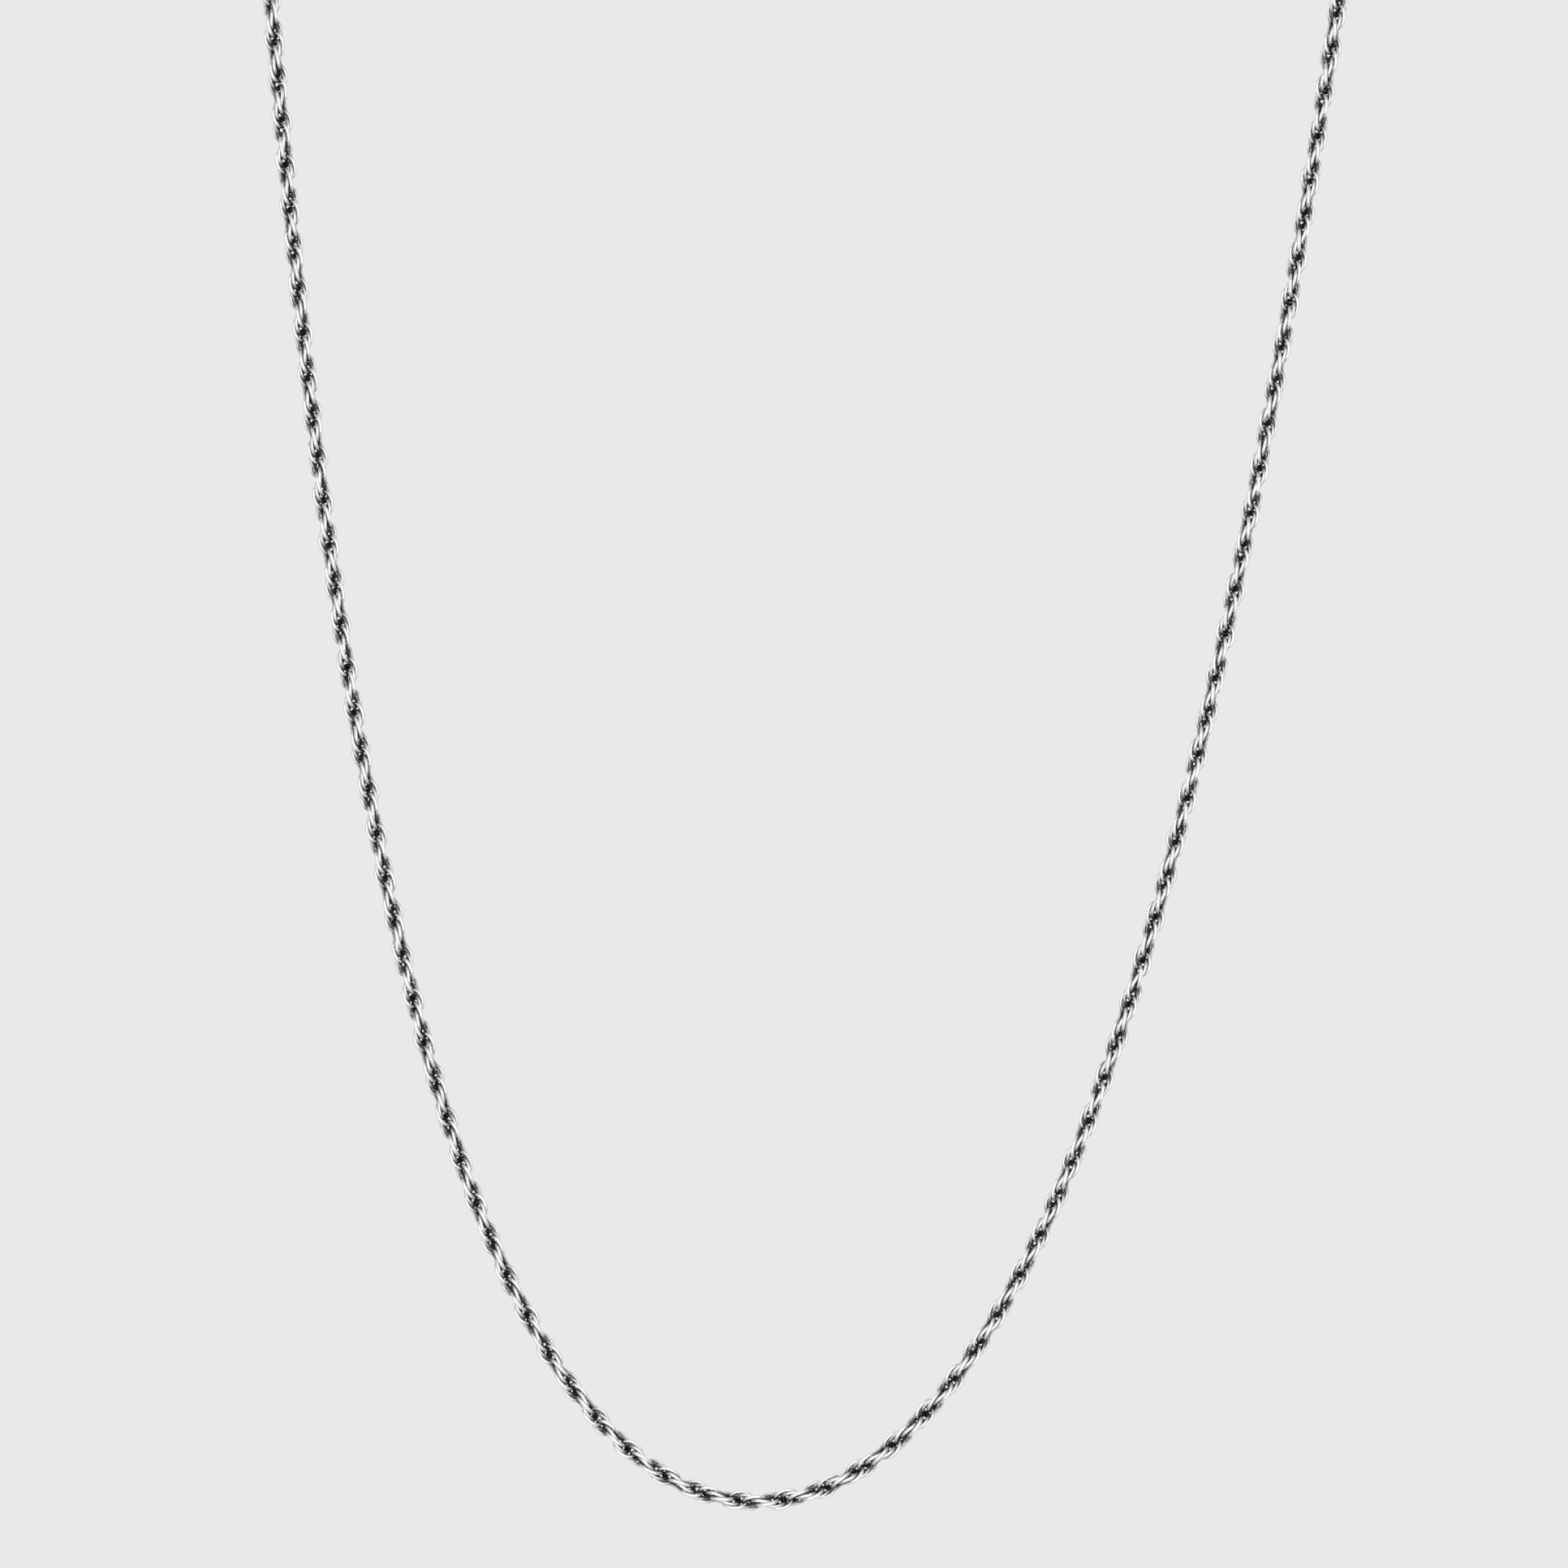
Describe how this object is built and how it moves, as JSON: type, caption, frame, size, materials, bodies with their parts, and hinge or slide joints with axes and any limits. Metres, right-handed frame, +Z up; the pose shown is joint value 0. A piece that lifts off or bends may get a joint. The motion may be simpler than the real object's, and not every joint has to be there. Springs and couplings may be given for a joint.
{
  "type": "rope chain necklace",
  "caption": "Silver rope-chain necklace lying open in a U, with end caps and an unfastened lobster clasp.",
  "frame": {"origin": "middle of the necklace's outline, on the flat surface it lies on", "axes": "+Y from the bottom of the U towards its two ends, +Z up from the surface, +X to the catch ring's arm"},
  "size_m": [0.1622, 0.2818, 0.0037],
  "materials": {
    "rope_chain": "bright polished silver wire rings, darker in the twist's grooves",
    "end_fittings": "polished silver caps and soldered wire rings",
    "clasp": "polished cast silver",
    "clasp_spring": "plain spring steel strip"
  },
  "bodies": {
    "chain_centre": {"chain_centre": "rope_chain"},
    "chain_left_25": {"chain_left_25": "rope_chain", "left_end_cap": "end_fittings"},
    "chain_left_01": {"chain_left_01": "rope_chain"},
    "chain_left_02": {"chain_left_02": "rope_chain"},
    "chain_left_03": {"chain_left_03": "rope_chain"},
    "chain_left_04": {"chain_left_04": "rope_chain"},
    "chain_left_05": {"chain_left_05": "rope_chain"},
    "chain_left_06": {"chain_left_06": "rope_chain"},
    "chain_left_07": {"chain_left_07": "rope_chain"},
    "chain_left_08": {"chain_left_08": "rope_chain"},
    "chain_left_09": {"chain_left_09": "rope_chain"},
    "chain_left_10": {"chain_left_10": "rope_chain"},
    "chain_left_11": {"chain_left_11": "rope_chain"},
    "chain_left_12": {"chain_left_12": "rope_chain"},
    "chain_left_13": {"chain_left_13": "rope_chain"},
    "chain_left_14": {"chain_left_14": "rope_chain"},
    "chain_left_15": {"chain_left_15": "rope_chain"},
    "chain_left_16": {"chain_left_16": "rope_chain"},
    "chain_left_17": {"chain_left_17": "rope_chain"},
    "chain_left_18": {"chain_left_18": "rope_chain"},
    "chain_left_19": {"chain_left_19": "rope_chain"},
    "chain_left_20": {"chain_left_20": "rope_chain"},
    "chain_left_21": {"chain_left_21": "rope_chain"},
    "chain_left_22": {"chain_left_22": "rope_chain"},
    "chain_left_23": {"chain_left_23": "rope_chain"},
    "chain_left_24": {"chain_left_24": "rope_chain"},
    "chain_right_01": {"chain_right_01": "rope_chain"},
    "chain_right_02": {"chain_right_02": "rope_chain"},
    "chain_right_03": {"chain_right_03": "rope_chain"},
    "chain_right_04": {"chain_right_04": "rope_chain"},
    "chain_right_05": {"chain_right_05": "rope_chain"},
    "chain_right_06": {"chain_right_06": "rope_chain"},
    "chain_right_07": {"chain_right_07": "rope_chain"},
    "chain_right_08": {"chain_right_08": "rope_chain"},
    "chain_right_09": {"chain_right_09": "rope_chain"},
    "chain_right_10": {"chain_right_10": "rope_chain"},
    "chain_right_11": {"chain_right_11": "rope_chain"},
    "chain_right_12": {"chain_right_12": "rope_chain"},
    "chain_right_13": {"chain_right_13": "rope_chain"},
    "chain_right_14": {"chain_right_14": "rope_chain"},
    "chain_right_15": {"chain_right_15": "rope_chain"},
    "chain_right_16": {"chain_right_16": "rope_chain"},
    "chain_right_17": {"chain_right_17": "rope_chain"},
    "chain_right_18": {"chain_right_18": "rope_chain"},
    "chain_right_19": {"chain_right_19": "rope_chain"},
    "chain_right_20": {"chain_right_20": "rope_chain"},
    "chain_right_21": {"chain_right_21": "rope_chain"},
    "chain_right_22": {"chain_right_22": "rope_chain"},
    "chain_right_23": {"chain_right_23": "rope_chain"},
    "chain_right_24": {"chain_right_24": "rope_chain"},
    "chain_right_25": {"chain_right_25": "rope_chain", "right_end_cap": "end_fittings"},
    "jump_ring": {"jump_ring": "end_fittings"},
    "clasp": {"clasp_body": "clasp", "clasp_pin": "clasp", "clasp_spring": "clasp_spring"},
    "clasp_lever": {"clasp_lever": "clasp"},
    "catch_ring": {"catch_ring": "end_fittings"}
  },
  "joints": [
    {"name": "catch_ring_fold", "type": "hinge", "parent": "chain_right_25", "child": "catch_ring", "pos_m": [0.07828, 0.12622, 0.00185], "axis": [-0.9959, 0.0903, 0], "range_deg": [-75, 75]},
    {"name": "clasp_lift", "type": "hinge", "parent": "chain_left_25", "child": "jump_ring", "pos_m": [-0.0768, 0.12622, 0.00185], "axis": [0.9959, 0.0903, 0], "range_deg": [-20, 20]},
    {"name": "clasp_swing", "type": "hinge", "parent": "jump_ring", "child": "clasp", "pos_m": [-0.07711, 0.12971, 0.00185], "axis": [-0.498, -0.0451, 0.866], "range_deg": [-50, 50]},
    {"name": "clasp_trigger", "type": "hinge", "parent": "clasp", "child": "clasp_lever", "pos_m": [-0.07783, 0.13316, 0.00185], "axis": [0, 0, -1], "range_deg": [0, 22], "stiffness_Nm_per_rad": 0.004, "springref_deg": -5.73},
    {"name": "left_side_01", "type": "hinge", "parent": "chain_centre", "child": "chain_left_01", "pos_m": [-0.0048, -0.13876, 0.00185], "axis": [0, 0, 1], "range_deg": [-30, 30]},
    {"name": "left_lift_02", "type": "hinge", "parent": "chain_left_01", "child": "chain_left_02", "pos_m": [-0.01477, -0.13383, 0.00185], "axis": [0.5984, 0.8012, 0], "range_deg": [-30, 30]},
    {"name": "left_side_03", "type": "hinge", "parent": "chain_left_02", "child": "chain_left_03", "pos_m": [-0.02278, -0.12603, 0.00185], "axis": [0, 0, -1], "range_deg": [-30, 30]},
    {"name": "left_lift_04", "type": "hinge", "parent": "chain_left_03", "child": "chain_left_04", "pos_m": [-0.02918, -0.11685, 0.00185], "axis": [-0.8576, -0.5143, 0], "range_deg": [-30, 30]},
    {"name": "left_side_05", "type": "hinge", "parent": "chain_left_04", "child": "chain_left_05", "pos_m": [-0.03443, -0.10697, 0.00185], "axis": [0, 0, -1], "range_deg": [-30, 30]},
    {"name": "left_lift_06", "type": "hinge", "parent": "chain_left_05", "child": "chain_left_06", "pos_m": [-0.03886, -0.09668, 0.00185], "axis": [-0.9308, -0.3656, 0], "range_deg": [-30, 30]},
    {"name": "left_side_07", "type": "hinge", "parent": "chain_left_06", "child": "chain_left_07", "pos_m": [-0.04267, -0.08615, 0.00185], "axis": [0, 0, 1], "range_deg": [-30, 30]},
    {"name": "left_lift_08", "type": "hinge", "parent": "chain_left_07", "child": "chain_left_08", "pos_m": [-0.04603, -0.07547, 0.00185], "axis": [0.9595, 0.2816, 0], "range_deg": [-30, 30]},
    {"name": "left_side_09", "type": "hinge", "parent": "chain_left_08", "child": "chain_left_09", "pos_m": [-0.04901, -0.06467, 0.00185], "axis": [0, 0, 1], "range_deg": [-30, 30]},
    {"name": "left_lift_10", "type": "hinge", "parent": "chain_left_09", "child": "chain_left_10", "pos_m": [-0.0517, -0.0538, 0.00185], "axis": [0.9736, 0.2284, 0], "range_deg": [-30, 30]},
    {"name": "left_side_11", "type": "hinge", "parent": "chain_left_10", "child": "chain_left_11", "pos_m": [-0.05414, -0.04287, 0.00185], "axis": [0, 0, -1], "range_deg": [-30, 30]},
    {"name": "left_lift_12", "type": "hinge", "parent": "chain_left_11", "child": "chain_left_12", "pos_m": [-0.05638, -0.0319, 0.00185], "axis": [-0.9814, -0.1919, 0], "range_deg": [-30, 30]},
    {"name": "left_side_13", "type": "hinge", "parent": "chain_left_12", "child": "chain_left_13", "pos_m": [-0.05845, -0.02089, 0.00185], "axis": [0, 0, -1], "range_deg": [-30, 30]},
    {"name": "left_lift_14", "type": "hinge", "parent": "chain_left_13", "child": "chain_left_14", "pos_m": [-0.06037, -0.00986, 0.00185], "axis": [-0.9862, -0.1654, 0], "range_deg": [-30, 30]},
    {"name": "left_side_15", "type": "hinge", "parent": "chain_left_14", "child": "chain_left_15", "pos_m": [-0.06216, 0.0012, 0.00185], "axis": [0, 0, 1], "range_deg": [-30, 30]},
    {"name": "left_lift_16", "type": "hinge", "parent": "chain_left_15", "child": "chain_left_16", "pos_m": [-0.06384, 0.01227, 0.00185], "axis": [0.9894, 0.1453, 0], "range_deg": [-30, 30]},
    {"name": "left_side_17", "type": "hinge", "parent": "chain_left_16", "child": "chain_left_17", "pos_m": [-0.06542, 0.02336, 0.00185], "axis": [0, 0, 1], "range_deg": [-30, 30]},
    {"name": "left_lift_18", "type": "hinge", "parent": "chain_left_17", "child": "chain_left_18", "pos_m": [-0.06691, 0.03446, 0.00185], "axis": [0.9916, 0.1296, 0], "range_deg": [-30, 30]},
    {"name": "left_side_19", "type": "hinge", "parent": "chain_left_18", "child": "chain_left_19", "pos_m": [-0.06833, 0.04557, 0.00185], "axis": [0, 0, -1], "range_deg": [-30, 30]},
    {"name": "left_lift_20", "type": "hinge", "parent": "chain_left_19", "child": "chain_left_20", "pos_m": [-0.06967, 0.05669, 0.00185], "axis": [-0.9931, -0.1169, 0], "range_deg": [-30, 30]},
    {"name": "left_side_21", "type": "hinge", "parent": "chain_left_20", "child": "chain_left_21", "pos_m": [-0.07095, 0.06782, 0.00185], "axis": [0, 0, -1], "range_deg": [-30, 30]},
    {"name": "left_lift_22", "type": "hinge", "parent": "chain_left_21", "child": "chain_left_22", "pos_m": [-0.07217, 0.07895, 0.00185], "axis": [-0.9943, -0.1064, 0], "range_deg": [-30, 30]},
    {"name": "left_side_23", "type": "hinge", "parent": "chain_left_22", "child": "chain_left_23", "pos_m": [-0.07333, 0.09009, 0.00185], "axis": [0, 0, 1], "range_deg": [-30, 30]},
    {"name": "left_lift_24", "type": "hinge", "parent": "chain_left_23", "child": "chain_left_24", "pos_m": [-0.07445, 0.10123, 0.00185], "axis": [0.9952, 0.0977, 0], "range_deg": [-30, 30]},
    {"name": "left_side_25", "type": "hinge", "parent": "chain_left_24", "child": "chain_left_25", "pos_m": [-0.07552, 0.11238, 0.00185], "axis": [0, 0, 1], "range_deg": [-30, 30]},
    {"name": "right_side_01", "type": "hinge", "parent": "chain_centre", "child": "chain_right_01", "pos_m": [0.00628, -0.13876, 0.00185], "axis": [0, 0, -1], "range_deg": [-30, 30]},
    {"name": "right_lift_02", "type": "hinge", "parent": "chain_right_01", "child": "chain_right_02", "pos_m": [0.01626, -0.13383, 0.00185], "axis": [0.5984, -0.8012, 0], "range_deg": [-30, 30]},
    {"name": "right_side_03", "type": "hinge", "parent": "chain_right_02", "child": "chain_right_03", "pos_m": [0.02426, -0.12603, 0.00185], "axis": [0, 0, 1], "range_deg": [-30, 30]},
    {"name": "right_lift_04", "type": "hinge", "parent": "chain_right_03", "child": "chain_right_04", "pos_m": [0.03066, -0.11685, 0.00185], "axis": [-0.8576, 0.5143, 0], "range_deg": [-30, 30]},
    {"name": "right_side_05", "type": "hinge", "parent": "chain_right_04", "child": "chain_right_05", "pos_m": [0.03592, -0.10697, 0.00185], "axis": [0, 0, 1], "range_deg": [-30, 30]},
    {"name": "right_lift_06", "type": "hinge", "parent": "chain_right_05", "child": "chain_right_06", "pos_m": [0.04034, -0.09668, 0.00185], "axis": [-0.9308, 0.3656, 0], "range_deg": [-30, 30]},
    {"name": "right_side_07", "type": "hinge", "parent": "chain_right_06", "child": "chain_right_07", "pos_m": [0.04416, -0.08615, 0.00185], "axis": [0, 0, -1], "range_deg": [-30, 30]},
    {"name": "right_lift_08", "type": "hinge", "parent": "chain_right_07", "child": "chain_right_08", "pos_m": [0.04751, -0.07547, 0.00185], "axis": [0.9595, -0.2816, 0], "range_deg": [-30, 30]},
    {"name": "right_side_09", "type": "hinge", "parent": "chain_right_08", "child": "chain_right_09", "pos_m": [0.0505, -0.06467, 0.00185], "axis": [0, 0, -1], "range_deg": [-30, 30]},
    {"name": "right_lift_10", "type": "hinge", "parent": "chain_right_09", "child": "chain_right_10", "pos_m": [0.05319, -0.0538, 0.00185], "axis": [0.9736, -0.2284, 0], "range_deg": [-30, 30]},
    {"name": "right_side_11", "type": "hinge", "parent": "chain_right_10", "child": "chain_right_11", "pos_m": [0.05563, -0.04287, 0.00185], "axis": [0, 0, 1], "range_deg": [-30, 30]},
    {"name": "right_lift_12", "type": "hinge", "parent": "chain_right_11", "child": "chain_right_12", "pos_m": [0.05787, -0.0319, 0.00185], "axis": [-0.9814, 0.1919, 0], "range_deg": [-30, 30]},
    {"name": "right_side_13", "type": "hinge", "parent": "chain_right_12", "child": "chain_right_13", "pos_m": [0.05994, -0.02089, 0.00185], "axis": [0, 0, 1], "range_deg": [-30, 30]},
    {"name": "right_lift_14", "type": "hinge", "parent": "chain_right_13", "child": "chain_right_14", "pos_m": [0.06186, -0.00986, 0.00185], "axis": [-0.9862, 0.1654, 0], "range_deg": [-30, 30]},
    {"name": "right_side_15", "type": "hinge", "parent": "chain_right_14", "child": "chain_right_15", "pos_m": [0.06365, 0.0012, 0.00185], "axis": [0, 0, -1], "range_deg": [-30, 30]},
    {"name": "right_lift_16", "type": "hinge", "parent": "chain_right_15", "child": "chain_right_16", "pos_m": [0.06533, 0.01227, 0.00185], "axis": [0.9894, -0.1453, 0], "range_deg": [-30, 30]},
    {"name": "right_side_17", "type": "hinge", "parent": "chain_right_16", "child": "chain_right_17", "pos_m": [0.06691, 0.02336, 0.00185], "axis": [0, 0, -1], "range_deg": [-30, 30]},
    {"name": "right_lift_18", "type": "hinge", "parent": "chain_right_17", "child": "chain_right_18", "pos_m": [0.0684, 0.03446, 0.00185], "axis": [0.9916, -0.1296, 0], "range_deg": [-30, 30]},
    {"name": "right_side_19", "type": "hinge", "parent": "chain_right_18", "child": "chain_right_19", "pos_m": [0.06981, 0.04557, 0.00185], "axis": [0, 0, 1], "range_deg": [-30, 30]},
    {"name": "right_lift_20", "type": "hinge", "parent": "chain_right_19", "child": "chain_right_20", "pos_m": [0.07116, 0.05669, 0.00185], "axis": [-0.9931, 0.1169, 0], "range_deg": [-30, 30]},
    {"name": "right_side_21", "type": "hinge", "parent": "chain_right_20", "child": "chain_right_21", "pos_m": [0.07243, 0.06782, 0.00185], "axis": [0, 0, 1], "range_deg": [-30, 30]},
    {"name": "right_lift_22", "type": "hinge", "parent": "chain_right_21", "child": "chain_right_22", "pos_m": [0.07365, 0.07895, 0.00185], "axis": [-0.9943, 0.1064, 0], "range_deg": [-30, 30]},
    {"name": "right_side_23", "type": "hinge", "parent": "chain_right_22", "child": "chain_right_23", "pos_m": [0.07482, 0.09009, 0.00185], "axis": [0, 0, -1], "range_deg": [-30, 30]},
    {"name": "right_lift_24", "type": "hinge", "parent": "chain_right_23", "child": "chain_right_24", "pos_m": [0.07594, 0.10123, 0.00185], "axis": [0.9952, -0.0977, 0], "range_deg": [-30, 30]},
    {"name": "right_side_25", "type": "hinge", "parent": "chain_right_24", "child": "chain_right_25", "pos_m": [0.07701, 0.11238, 0.00185], "axis": [0, 0, -1], "range_deg": [-30, 30]}
  ]
}
